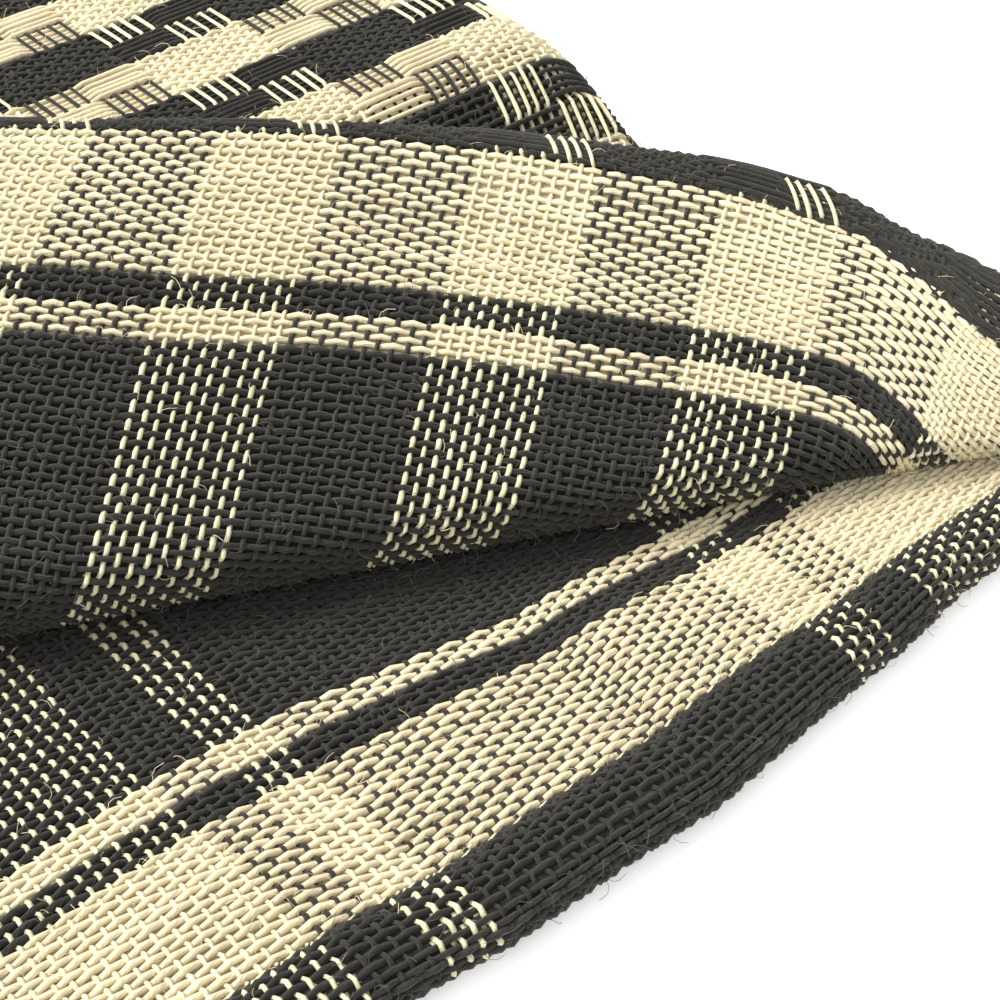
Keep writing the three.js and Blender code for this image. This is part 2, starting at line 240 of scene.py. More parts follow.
class Flap:
    """Looks up the flap's surface from (a, b): b is the length of cloth beyond its fold."""

    def __init__(self):
        self.stations = np.concatenate([np.arange(3.4, 90, 0.8), np.arange(90, 296, 3)])
        self.shares = np.linspace(-1, 1, 121)
        rows, spans = [], []
        for a in self.stations:
            path = flap_section(a)
            run = lengths(path)
            at_fold = run[np.argmin(path[:, 0])]
            edge = run[-1] - GAP
            place = np.where(
                self.shares < 0, at_fold * (1 + self.shares),
                at_fold + (run[-1] - at_fold) * self.shares,
            )
            rows.append(np.stack([np.interp(place, run, path[:, k]) for k in (0, 1)], -1))
            spans.append((at_fold, run[-1] - at_fold, edge - at_fold))
        self.table = np.array(rows)
        self.under, self.over, self.cloth_edge = np.array(spans).T

    def span(self, a, which):
        return np.interp(a, self.stations, which)

    def place(self, a, b):
        a, b = np.broadcast_arrays(np.asarray(a, float), np.asarray(b, float))
        share = np.where(b < 0, b / self.span(a, self.under), b / self.span(a, self.over))
        share = np.clip(share, -1, 1)
        i = np.clip(np.searchsorted(self.stations, a) - 1, 0, len(self.stations) - 2)
        u = (a - self.stations[i]) / (self.stations[i + 1] - self.stations[i])
        m = (share + 1) / 2 * (len(self.shares) - 1)
        j = np.clip(m.astype(int), 0, len(self.shares) - 2)
        v = (m - j)[..., None]
        u = u[..., None]
        grid = self.table
        near = grid[i, j] * (1 - v) + grid[i, j + 1] * v
        far = grid[i + 1, j] * (1 - v) + grid[i + 1, j + 1] * v
        section = near * (1 - u) + far * u
        flat = plan(a, section[..., 0])
        return np.concatenate([flat, section[..., 1:]], -1)


flap = Flap()

# The crest line of the flap's hem, and the yarn counts along it.
hem_stations = np.arange(3.4, CORNER_ALONG + 0.1, 0.8)
hem_middle = flap.place(hem_stations, flap.span(hem_stations, flap.over))
HEM_START = 4.5  # hem between the side fold and the first station
hem_run = lengths(hem_middle) + HEM_START
FLAP_PITCH = 0.69  # along its gathered hem the flap's warp yarns lie closer
# Length of hem from the side fold to each warp yarn: the gathers are uneven near the tip
GATHERED = np.array([
    (0, 0), (10, 4.8), (19, 10.2), (29, 18.6), (39, 25.4), (49, 32.5), (59, 39.4), (69, 47.1),
    (79, 54.25), (89, 61.4), (400, 400 * FLAP_PITCH),
])

# How far the hem bends down behind the crest, in degrees, against the warp yarn
HEM_TURN = np.array([(0, 15), (12, 20), (25, 36), (45, 50), (70, 56), (400, 50)])
LOOP_AWAY = np.array([-4.2, 1.2, 3.4])  # how far the hem's first yarn is drawn off, at the tip


def ellipse_hem(rows):
    """A rolled hem's section against rows of weft: across it and above its middle."""
    turn = math.pi * (1 + np.minimum(rows, 0) / 12)
    return HEM_WIDTH / 2 * np.cos(turn), HEM_THICK / 2 * np.sin(turn)


def lower_place(warp, row):
    """The lower sheet and, for negative rows, the front hem rolled over its edge."""
    warp, row = np.broadcast_arrays(np.asarray(warp, float), np.asarray(row, float))
    x = -warp * WARP_PITCH
    front = np.interp(x, FRONT_HEM[:, 0], FRONT_HEM[:, 1])
    across, above = ellipse_hem(row)
    share = np.interp(x, FRONT_SHARE[:, 0], FRONT_SHARE[:, 1])
    y_hem = front + (HEM_WIDTH / 2 - across) * share
    z_hem = np.maximum(HEM_MIDDLE + above, 0.12)
    drawn = np.interp(x, LOWER_PITCH[:, 0], LOWER_PITCH[:, 1]) - ROW_PITCH
    pitch = ROW_PITCH + drawn * (1 - smooth_step(row, 90, 400))
    y_flat = front + HEM_WIDTH * share + row * pitch
    wavy = smooth_step(row, 0, 8)
    z_flat = 0.85 + 0.2 * wavy * waves(x, y_flat, 11, 3)
    on_hem = row < 0
    y = np.where(on_hem, y_hem, y_flat)
    z = np.where(on_hem, z_hem, z_flat)
    shift = 0.12 * waves(x, y_flat, 14, 4)
    return np.stack([x + shift, y + 0.12 * waves(x, y_flat, 12, 5) * wavy, z], -1)


def top_place(e, y):
    """The top sheet: e is the length of cloth leftwards from the side fold's outermost line."""
    e, y = np.broadcast_arrays(np.asarray(e, float), np.asarray(y, float))
    radius = (support(y) + WALL) / 2
    quarter = radius * math.pi / 2
    turn = np.clip(e / radius, -math.pi / 2, math.pi / 2)
    beyond = np.maximum(e - quarter, 0)
    x = -radius + radius * np.cos(turn) - beyond
    z = radius + radius * np.sin(turn)
    z = z + 0.15 * waves(x, y, 22, 6) * smooth_step(beyond, 0, 10)
    return np.stack([x, y, z], -1)


# The flap's rows open out a little where its band is drawn over the crest: the weft's spread
# near the hem against the warp yarn.
OPENING = np.array([
    (0, 0.55), (20, 0.63), (42, 1.18), (60, 1.48), (70, 1.62), (80, 1.72), (400, 1.6),
])
SETTLED = 1.14  # the spread further in
OPEN_ROWS = 22


def row_lengths(warp, rows):
    """How far from the hem each row lies along one warp yarn of the flap."""
    near = np.interp(warp, OPENING[:, 0], OPENING[:, 1])
    eased = OPEN_ROWS * (1 - np.exp(-rows / OPEN_ROWS))
    return ROW_PITCH * (SETTLED * rows + (near - SETTLED) * eased)


def flap_lines(warps, rows):
    """Points of the flap where the given warp yarns meet the given rows (rows 0 and up), and
    how much cloth is left there before the tuck's end."""
    run = np.interp(warps, GATHERED[:, 0], GATHERED[:, 1])
    a_hem = np.interp(run, hem_run, hem_stations)
    slant = np.interp(a_hem, WARP_SLANT[:, 0], WARP_SLANT[:, 1])
    points = np.zeros((len(run), len(rows), 3))
    left = np.zeros((len(run), len(rows)))
    for k, (warp, a0, shift) in enumerate(zip(warps, a_hem, slant)):
        full = float(flap.span(a0, flap.cloth_edge))
        tail = min(TUCK_CLOTH, 0.8 * TUCK_SHARE * a0 + 1)
        b = np.concatenate([np.linspace(full, 0, 60), np.linspace(0, -tail, 24)[1:]])
        w = (full - b) / max(full, 0.5)
        a = a0 + shift * np.minimum(w, 1.15)
        path = flap.place(a, b)
        length = lengths(path)
        place = row_lengths(warp, np.asarray(rows, float))
        for axis in range(3):
            points[k, :, axis] = np.interp(place, length, path[:, axis])
        left[k] = length[-1] - place
    return points, left


def curled_hem(warps, rows):
    """The rolled hem along the flap: negative rows run from its inner edge over its crest."""
    run = np.interp(warps, GATHERED[:, 0], GATHERED[:, 1])
    loop = np.minimum(run - HEM_START, 0) / HEM_START  # below the first station, at the tip
    a = np.interp(run, hem_run, hem_stations)
    edge = flap.place(a, flap.span(a, flap.cloth_edge))
    edge = edge + LOOP_AWAY * (loop * np.abs(loop))[:, None]
    inner = flap.place(a, flap.span(a, flap.over) - 2.5)
    outward = edge - inner
    outward[:, 2] = np.clip(outward[:, 2], -0.2, 1.2)
    outward /= np.linalg.norm(outward, axis=1, keepdims=True)
    onward = np.gradient(edge, axis=0)
    onward /= np.linalg.norm(onward, axis=1, keepdims=True)
    raised = np.cross(outward, onward)
    raised /= np.linalg.norm(raised, axis=1, keepdims=True)
    raised *= np.sign(raised[:, 2:])
    turn = np.radians(np.interp(warps, HEM_TURN[:, 0], HEM_TURN[:, 1]))[:, None]
    curl, lift = np.cos(turn), np.sin(turn)
    outward, raised = outward * curl - raised * lift, raised * curl + outward * lift
    across, above = ellipse_hem(np.asarray(rows, float))
    return (
        edge[:, None] + outward[:, None] * (across + HEM_WIDTH / 2)[None, :, None]
        + raised[:, None] * above[None, :, None]
    )


# ---------------------------------------------------------------- meshes

def new_piece(name, vertices, faces, smooth=True):
    mesh = bpy.data.meshes.new(name)
    placed = (np.asarray(vertices, float).reshape(-1, 3) + TIP) * MM
    mesh.from_pydata(placed.tolist(), [], [list(f) for f in faces])
    mesh.polygons.foreach_set("use_smooth", np.full(len(mesh.polygons), smooth))
    mesh.update()
    piece = bpy.data.objects.new(name, mesh)
    bpy.context.collection.objects.link(piece)
    return piece


def yarn_counts(piece, counts):
    """Writes each vertex's place in the weave as the UV map that the materials read."""
    layer = piece.data.uv_layers.new(name="yarns")
    corner = np.empty(len(piece.data.loops), int)
    piece.data.loops.foreach_get("vertex_index", corner)
    layer.data.foreach_set("uv", np.asarray(counts, float).reshape(-1, 2)[corner].ravel())


def facing_of(points, facing):
    onward = np.gradient(points, axis=0)
    across = np.gradient(points, axis=1)
    normal = np.cross(onward, across) * facing
    return normal / np.maximum(np.linalg.norm(normal, axis=2, keepdims=True), 1e-9)


def shell(name, points, counts, facing, thickness=0.3, sunk=0.25):
    """A thin closed sheet through a grid of points, sunk a little below the yarns' middle."""
    rows, columns = points.shape[:2]
    normal = facing_of(points, facing)
    upper = points - normal * sunk
    lower = points - normal * (sunk + thickness)
    index = np.arange(rows * columns).reshape(rows, columns)
    a, b = index[:-1, :-1].ravel(), index[1:, :-1].ravel()
    c, d = index[1:, 1:].ravel(), index[:-1, 1:].ravel()
    top = np.stack([a, b, c, d], 1)
    under = top[:, ::-1] + rows * columns
    rim = np.concatenate([index[:, 0], index[-1, 1:], index[-2::-1, -1], index[0, -2:0:-1]])
    ahead = np.roll(rim, -1)
    sides = np.stack([ahead, rim, rim + rows * columns, ahead + rows * columns], 1)
    faces = np.concatenate([top, under, sides])
    if facing < 0:
        faces = faces[:, ::-1]
    piece = new_piece(name, np.concatenate([upper.reshape(-1, 3), lower.reshape(-1, 3)]), faces)
    yarn_counts(piece, np.concatenate([counts.reshape(-1, 2)] * 2))
    return piece


def ring_tube(name, rings, counts):
    """A tube through rings of points, with one face closing each end."""
    n, sides = rings.shape[:2]
    index = np.arange(n * sides).reshape(n, sides)
    ahead = np.roll(index, -1, axis=1)
    faces = np.stack([index[:-1], ahead[:-1], ahead[1:], index[1:]], -1).reshape(-1, 4).tolist()
    faces += [index[0, ::-1].tolist(), index[-1].tolist()]
    piece = new_piece(name, rings, faces)
    yarn_counts(piece, counts)
    return piece


# ---------------------------------------------------------------- the weave

def cream_in_turn(count, stripes):
    """True where a yarn falls in a cream stripe; the first stripe is cream."""
    edges = np.concatenate([[0], np.cumsum(stripes)])
    turn = np.searchsorted(edges, count, side="right") - 1
    return (turn % 2 == 0) & (turn < len(stripes)) & (turn >= 0)


def cream_in_groups(count, start):
    return np.floor_divide(np.asarray(count) - start, GROUP) % 2 == 0


# The field's repeat in blocks of five yarns: P plain, W warp floats, F weft floats. Columns
# run from the side fold leftwards, rows from the front backwards.
FIELD_CHART = ("PPWF", "PPFW", "WFPP", "FWPP")
BLOCK = GROUP // 2
LOOPS = 4  # yarns of each cream group that loop over the flap's hem
LOOP_END = -8  # the row behind the hem's crest where those loops end
COVERED = -1  # on a cream group, the weft covers the warp in the rows below this one


def warp_on_top(warp, row, field_start):
    """+1 where the warp yarn lies over the weft, -1 where the weft lies over it."""
    plain = np.where((warp + row) % 2 == 0, 1, -1)
    if field_start is None:
        return plain
    column = ((warp - field_start[0]) // BLOCK) % len(FIELD_CHART)
    line = ((row - field_start[1]) // BLOCK) % len(FIELD_CHART)
    made = plain.copy()
    for j, cells in enumerate(FIELD_CHART):
        for i, cell in enumerate(cells):
            here = (column == i) & (line == j)
            if cell != "P":
                made[here] = 1 if cell == "W" else -1
    return made


def hem_loops(over, warps, rows):
    """On the flap's hem the weft covers the cream warp, but for the first yarns of each group,
    which loop over it."""
    first = ((warps - FLAP_GROUP) % (2 * GROUP) < LOOPS)[:, None] & (rows > LOOP_END)[None, :]
    covered = cream_in_groups(warps, FLAP_GROUP)[:, None] & (rows < COVERED)[None, :]
    return np.where(covered, np.where(first, 1, -1), over)


def crest(over, at):
    """A yarn's height between -1 and 1, at fractions of a yarn along it."""
    cell = np.clip(np.floor(at - 0.5).astype(int), 0, over.shape[-1] - 2)
    t = np.clip(at - 0.5 - cell, 0, 1)
    ease = (1 - np.cos(np.pi * t)) / 2
    return over[..., cell] * (1 - ease) + over[..., cell + 1] * ease


def read_attribute(new, name, kind):
    """The value that a piece's paths carry under a name."""
    node = new("GeometryNodeInputNamedAttribute")
    node.data_type = kind
    node.inputs["Name"].default_value = name
    return node.outputs["Attribute"]


def yarn_tree():
    """Wraps a round or flattened yarn about each polyline, thick and thin along its length."""
    tree = bpy.data.node_groups.new("yarns_along_paths", "GeometryNodeTree")
    socket = tree.interface.new_socket
    socket("Geometry", in_out="INPUT", socket_type="NodeSocketGeometry")
    for name in ("Thickness", "Flatness", "Slub"):
        socket(name, in_out="INPUT", socket_type="NodeSocketFloat")
    socket("Sides", in_out="INPUT", socket_type="NodeSocketInt")
    socket("Finish", in_out="INPUT", socket_type="NodeSocketMaterial")
    socket("Geometry", in_out="OUTPUT", socket_type="NodeSocketGeometry")
    new, link = tree.nodes.new, tree.links.new
    given, made = new("NodeGroupInput"), new("NodeGroupOutput")
    curve = new("GeometryNodeMeshToCurve")
    link(given.outputs["Geometry"], curve.inputs["Mesh"])
    noise = new("ShaderNodeTexNoise")
    noise.noise_dimensions = "4D"
    noise.inputs["Scale"].default_value = 420
    noise.inputs["W"].default_value = 7.0
    noise.inputs["Detail"].default_value = 1.0
    swing = new("ShaderNodeMapRange")
    swing.inputs["From Min"].default_value = 0.25
    swing.inputs["From Max"].default_value = 0.75
    swing.inputs["To Min"].default_value = -1
    link(noise.outputs[0], swing.inputs["Value"])
    slub = new("ShaderNodeMath")
    slub.operation = "MULTIPLY_ADD"
    slub.inputs[2].default_value = 1
    link(swing.outputs[0], slub.inputs[0])
    link(given.outputs["Slub"], slub.inputs[1])
    stout = new("ShaderNodeMath")
    stout.operation = "MULTIPLY"
    link(slub.outputs[0], stout.inputs[0])
    link(read_attribute(new, "stoutness", "FLOAT"), stout.inputs[1])
    thick = new("ShaderNodeMath")
    thick.operation = "MULTIPLY"
    link(stout.outputs[0], thick.inputs[0])
    link(given.outputs["Thickness"], thick.inputs[1])
    upright = new("GeometryNodeSetCurveNormal")
    upright.mode = "FREE"
    link(curve.outputs["Curve"], upright.inputs["Curve"])
    link(read_attribute(new, "facing", "FLOAT_VECTOR"), upright.inputs["Normal"])
    measure = new("GeometryNodeSplineParameter")
    along = new("GeometryNodeStoreNamedAttribute")
    along.data_type = "FLOAT"
    along.inputs["Name"].default_value = "along"
    link(upright.outputs["Curve"], along.inputs["Geometry"])
    link(measure.outputs["Length"], along.inputs["Value"])
    circle = new("GeometryNodeCurvePrimitiveCircle")
    circle.inputs["Radius"].default_value = 1
    link(given.outputs["Sides"], circle.inputs["Resolution"])
    around = new("GeometryNodeStoreNamedAttribute")
    around.data_type = "FLOAT_VECTOR"
    around.inputs["Name"].default_value = "around"
    link(circle.outputs["Curve"], around.inputs["Geometry"])
    link(new("GeometryNodeInputPosition").outputs["Position"], around.inputs["Value"])
    press = new("GeometryNodeTransform")
    scale = new("ShaderNodeCombineXYZ")
    scale.inputs["X"].default_value = 1
    scale.inputs["Z"].default_value = 1
    link(given.outputs["Flatness"], scale.inputs["Y"])
    link(around.outputs["Geometry"], press.inputs["Geometry"])
    link(scale.outputs[0], press.inputs["Scale"])
    mesh = new("GeometryNodeCurveToMesh")
    mesh.inputs["Fill Caps"].default_value = True
    link(along.outputs["Geometry"], mesh.inputs["Curve"])
    link(thick.outputs[0], mesh.inputs["Scale"])
    link(press.outputs["Geometry"], mesh.inputs["Profile Curve"])
    soft = new("GeometryNodeSetShadeSmooth")
    whole = new("GeometryNodeRealizeInstances")
    finish = new("GeometryNodeSetMaterial")
    link(mesh.outputs["Mesh"], soft.inputs["Geometry"])
    link(soft.outputs["Geometry"], whole.inputs["Geometry"])
    link(whole.outputs["Geometry"], finish.inputs["Geometry"])
    link(given.outputs["Finish"], finish.inputs["Material"])
    link(finish.outputs["Geometry"], made.inputs["Geometry"])
    return tree


YARN_TREE = yarn_tree()


def grown(source, tree, settings, name):
    """The plain mesh that a tree makes of a source object, as a piece of its own."""
    maker = source.modifiers.new("maker", "NODES")
    maker.node_group = tree
    for socket in tree.interface.items_tree:
        if socket.item_type == "SOCKET" and socket.in_out == "INPUT" and socket.name in settings:
            maker[socket.identifier] = settings[socket.name]
    bpy.context.view_layer.update()
    evaluated = source.evaluated_get(bpy.context.evaluated_depsgraph_get())
    mesh = bpy.data.meshes.new_from_object(evaluated)
    mesh.name = name
    piece = bpy.data.objects.new(name, mesh)
    bpy.context.collection.objects.link(piece)
    source.modifiers.remove(maker)
    data = source.data
    bpy.data.objects.remove(source)
    bpy.data.meshes.remove(data)
    return piece


def fuzz_tree():
    """Short bent fibres that stand off the outer side of the yarns."""
    tree = bpy.data.node_groups.new("fibres_on_yarns", "GeometryNodeTree")
    socket = tree.interface.new_socket
    socket("Geometry", in_out="INPUT", socket_type="NodeSocketGeometry")
    for name in ("Density", "Length", "Thickness"):
        socket(name, in_out="INPUT", socket_type="NodeSocketFloat")
    socket("Seed", in_out="INPUT", socket_type="NodeSocketInt")
    socket("Finish", in_out="INPUT", socket_type="NodeSocketMaterial")
    socket("Geometry", in_out="OUTPUT", socket_type="NodeSocketGeometry")
    new, link = tree.nodes.new, tree.links.new
    given, made = new("NodeGroupInput"), new("NodeGroupOutput")
    outer = new("ShaderNodeVectorMath")
    outer.operation = "DOT_PRODUCT"
    link(read_attribute(new, "facing", "FLOAT_VECTOR"), outer.inputs[0])
    link(new("GeometryNodeInputNormal").outputs["Normal"], outer.inputs[1])
    upper = new("FunctionNodeCompare")
    upper.inputs["B"].default_value = 0.25
    link(outer.outputs["Value"], upper.inputs["A"])
    roots = new("GeometryNodeDistributePointsOnFaces")
    link(given.outputs["Geometry"], roots.inputs["Mesh"])
    link(upper.outputs["Result"], roots.inputs["Selection"])
    link(given.outputs["Density"], roots.inputs["Density"])
    link(given.outputs["Seed"], roots.inputs["Seed"])
    strand = new("GeometryNodeCurveQuadraticBezier")
    strand.inputs["Resolution"].default_value = 3
    strand.inputs["Start"].default_value = (0, 0, -0.05)
    strand.inputs["Middle"].default_value = (0.15, 0.1, 0.55)
    strand.inputs["End"].default_value = (0.9, 0, 0.3)
    longer = new("ShaderNodeVectorMath")
    longer.operation = "SCALE"
    sized = new("GeometryNodeTransform")
    link(strand.outputs["Curve"], sized.inputs["Geometry"])
    longer.inputs[0].default_value = (1, 1, 1)
    link(given.outputs["Length"], longer.inputs["Scale"])
    link(longer.outputs[0], sized.inputs["Scale"])
    profile = new("GeometryNodeCurvePrimitiveCircle")
    profile.inputs["Resolution"].default_value = 3
    profile.inputs["Radius"].default_value = 1
    fibre = new("GeometryNodeCurveToMesh")
    fibre.inputs["Fill Caps"].default_value = True
    link(sized.outputs["Geometry"], fibre.inputs["Curve"])
    link(profile.outputs["Curve"], fibre.inputs["Profile Curve"])
    link(given.outputs["Thickness"], fibre.inputs["Scale"])
    spin = new("FunctionNodeRandomValue")
    spin.inputs["Max"].default_value = math.tau
    spin.inputs["Seed"].default_value = 5
    spun = new("FunctionNodeAxisAngleToRotation")
    link(spin.outputs[1], spun.inputs["Angle"])
    turned = new("FunctionNodeRotateRotation")
    turned.rotation_space = "LOCAL"
    link(roots.outputs["Rotation"], turned.inputs["Rotation"])
    link(spun.outputs["Rotation"], turned.inputs["Rotate By"])
    uneven = new("FunctionNodeRandomValue")
    uneven.inputs["Min"].default_value = 0.35
    uneven.inputs["Max"].default_value = 1.5
    uneven.inputs["Seed"].default_value = 8
    placed = new("GeometryNodeInstanceOnPoints")
    link(roots.outputs["Points"], placed.inputs["Points"])
    link(fibre.outputs["Mesh"], placed.inputs["Instance"])
    link(turned.outputs["Rotation"], placed.inputs["Rotation"])
    link(uneven.outputs[1], placed.inputs["Scale"])
    whole = new("GeometryNodeRealizeInstances")
    finish = new("GeometryNodeSetMaterial")
    link(placed.outputs["Instances"], whole.inputs["Geometry"])
    link(whole.outputs["Geometry"], finish.inputs["Geometry"])
    link(given.outputs["Finish"], finish.inputs["Material"])
    link(finish.outputs["Geometry"], made.inputs["Geometry"])
    return tree


FUZZ_TREE = fuzz_tree()


def fuzz_on(yarns, density, seed):
    """Fibres for one piece of yarns, as a piece of its own."""
    copy = bpy.data.objects.new(yarns.name + "_copy", yarns.data.copy())
    bpy.context.collection.objects.link(copy)
    settings = {
        "Density": density, "Length": FIBRE_LENGTH * MM, "Thickness": FIBRE_RADIUS * MM,
        "Seed": seed, "Finish": FIBRE_COTTON,
    }
    return grown(copy, FUZZ_TREE, settings, yarns.name + "_fuzz")


def lay_yarns(name, points, normal, height, dye, shown, yarn, finish, seed):
    """One piece of yarns: points is yarns x samples x 3, cut where shown is False."""
    draw = np.random.default_rng(seed)
    yarns, samples = points.shape[:2]
    stout = 1 + yarn["uneven"] * np.clip(draw.normal(0, 1, (yarns, 1)), -1.6, 2)
    tone = draw.normal(0, 1, (yarns, 1)) * np.ones((1, samples))
    lifted = points + normal * (height * yarn["crest"])[..., None]
    keep = shown & np.isfinite(points[..., 0])
    index = -np.ones((yarns, samples), int)
    index[keep] = np.arange(keep.sum())
    pairs = keep[:, :-1] & keep[:, 1:]
    edges = np.stack([index[:, :-1][pairs], index[:, 1:][pairs]], 1)
    mesh = bpy.data.meshes.new(name + "_paths")
    mesh.from_pydata(((lifted[keep] + TIP) * MM).tolist(), edges.tolist(), [])
    columns = (
        ("stoutness", "FLOAT", np.broadcast_to(stout, keep.shape)[keep]),
        ("dye", "FLOAT", np.broadcast_to(dye, keep.shape)[keep]),
        ("tone", "FLOAT", tone[keep]),
    )
    for label, kind, values in columns:
        mesh.attributes.new(label, kind, "POINT").data.foreach_set("value", values.astype(float))
    facing = mesh.attributes.new("facing", "FLOAT_VECTOR", "POINT")
    facing.data.foreach_set("vector", normal[keep].ravel())
    source = bpy.data.objects.new(name + "_paths", mesh)
    bpy.context.collection.objects.link(source)
    settings = {
        "Thickness": yarn["radius"] * MM, "Flatness": yarn["flatness"], "Slub": yarn["slub"],
        "Sides": yarn["sides"], "Finish": finish,
    }
    return grown(source, YARN_TREE, settings, name)


# ---------------------------------------------------------------- materials

CREAM_WARP = (0.8, 0.75, 0.49)
CREAM_WEFT = (0.8, 0.7, 0.475)
CHARCOAL = (0.0172, 0.0166, 0.0138)


class Nodes:
    """Short ways to write a material's arithmetic."""

    def __init__(self, tree):
        self.tree = tree

    def add(self, kind, **settings):
        node = self.tree.nodes.new(kind)
        for key, value in settings.items():
            setattr(node, key, value)
        return node

    def put(self, socket, value):
        if isinstance(value, bpy.types.NodeSocket):
            self.tree.links.new(value, socket)
        else:
            socket.default_value = value

    def math(self, operation, *values, clamp=False):
        node = self.add("ShaderNodeMath", operation=operation, use_clamp=clamp)
        for socket, value in zip(node.inputs, values):
            self.put(socket, value)
        return node.outputs[0]

    def mix(self, share, a, b):
        node = self.add("ShaderNodeMix", data_type="RGBA")
        self.put(node.inputs["Factor"], share)
        self.put(node.inputs[6], a)
        self.put(node.inputs[7], b)
        return node.outputs[2]

    def attribute(self, name):
        return self.add("ShaderNodeAttribute", attribute_name=name).outputs["Fac"]

    def noise(self, scale, detail, stretch=None):
        node = self.add("ShaderNodeTexNoise")
        vector = self.add("ShaderNodeTexCoord").outputs["Object"]
        if stretch:
            mapping = self.add("ShaderNodeMapping")
            mapping.inputs["Scale"].default_value = stretch
            self.put(mapping.inputs["Vector"], vector)
            vector = mapping.outputs[0]
        self.put(node.inputs["Vector"], vector)
        node.inputs["Scale"].default_value = scale
        node.inputs["Detail"].default_value = detail
        return node.outputs[0]

    def within(self, value, low, high):
        """1 where low <= value < high."""
        above = self.math("GREATER_THAN", value, low - 1e-4)
        below = self.math("LESS_THAN", value, high - 1e-4)
        return self.math("MULTIPLY", above, below)

    def either(self, *values):
        total = values[0]
        for value in values[1:]:
            total = self.math("MAXIMUM", total, value)
        return total


def rgba(color, share=1):
    return (*(channel * share for channel in color), 1)


def cotton(name):
    """A matt cotton material, and the helper and shader to finish it."""
    material = bpy.data.materials.new(name)
    material.use_nodes = True
    shader = material.node_tree.nodes["Principled BSDF"]
    shader.inputs["Roughness"].default_value = 0.88
    shader.inputs["Specular IOR Level"].default_value = 0.22
    shader.inputs["Sheen Weight"].default_value = 0.12
    shader.inputs["Sheen Roughness"].default_value = 0.6
    shader.inputs["Sheen Tint"].default_value = (1, 0.96, 0.88, 1)
    return material, Nodes(material.node_tree), shader


def finish_cotton(nodes, shader, color, height, strength, depth):
    nodes.put(shader.inputs["Base Color"], color)
    bump = nodes.add("ShaderNodeBump")
    bump.inputs["Strength"].default_value = strength
    bump.inputs["Distance"].default_value = depth
    nodes.put(bump.inputs["Height"], height)
    nodes.put(shader.inputs["Normal"], bump.outputs[0])


def yarn_cotton(name, cream, twist):
    """Spun cotton for the single yarns: dye and tone come with each yarn, and its fibres turn
    about it."""
    material, nodes, shader = cotton(name)
    along = nodes.attribute("along")
    turn = nodes.add("ShaderNodeVectorRotate", rotation_type="Z_AXIS")
    around = nodes.add("ShaderNodeAttribute", attribute_name="around").outputs["Vector"]
    nodes.put(turn.inputs["Vector"], around)
    nodes.put(turn.inputs["Angle"], nodes.math("MULTIPLY", along, twist))
    drawn = nodes.add("ShaderNodeCombineXYZ")
    parts = nodes.add("ShaderNodeSeparateXYZ")
    nodes.put(parts.inputs[0], turn.outputs[0])
    nodes.put(drawn.inputs[0], parts.outputs[0])
    nodes.put(drawn.inputs[1], parts.outputs[1])
    nodes.put(drawn.inputs[2], nodes.math("MULTIPLY", along, 450.0))
    streaks = nodes.add("ShaderNodeTexNoise")
    nodes.put(streaks.inputs["Vector"], drawn.outputs[0])
    streaks.inputs["Scale"].default_value = 2.6
    streaks.inputs["Detail"].default_value = 3
    fibres = streaks.outputs[0]
    patches = nodes.noise(420, 2)
    tone = nodes.attribute("tone")
    shift = nodes.math("MULTIPLY_ADD", tone, 0.045, 0.92)
    shift = nodes.math("MULTIPLY_ADD", patches, 0.2, nodes.math("SUBTRACT", shift, 0.1))
    shift = nodes.math("MULTIPLY_ADD", fibres, 0.5, nodes.math("SUBTRACT", shift, 0.25))
    light = nodes.add("ShaderNodeVectorMath", operation="SCALE")
    light.inputs[0].default_value = cream
    nodes.put(light.inputs["Scale"], shift)
    worn = nodes.math("POWER", fibres, 2.0)
    dark = nodes.mix(worn, rgba(CHARCOAL, 0.55), rgba(CHARCOAL, 3.0))
    color = nodes.mix(nodes.attribute("dye"), light.outputs[0], dark)
    finish_cotton(nodes, shader, color, fibres, 0.8, 0.00012)
    return material


def fibre_cotton():
    """Loose fibres, dyed like the yarn that they stand on."""
    material, nodes, shader = cotton("loose_fibres")
    color = nodes.mix(nodes.attribute("dye"), rgba(CREAM_WEFT, 0.95), rgba((0.09, 0.09, 0.088)))
    nodes.put(shader.inputs["Base Color"], color)
    return material


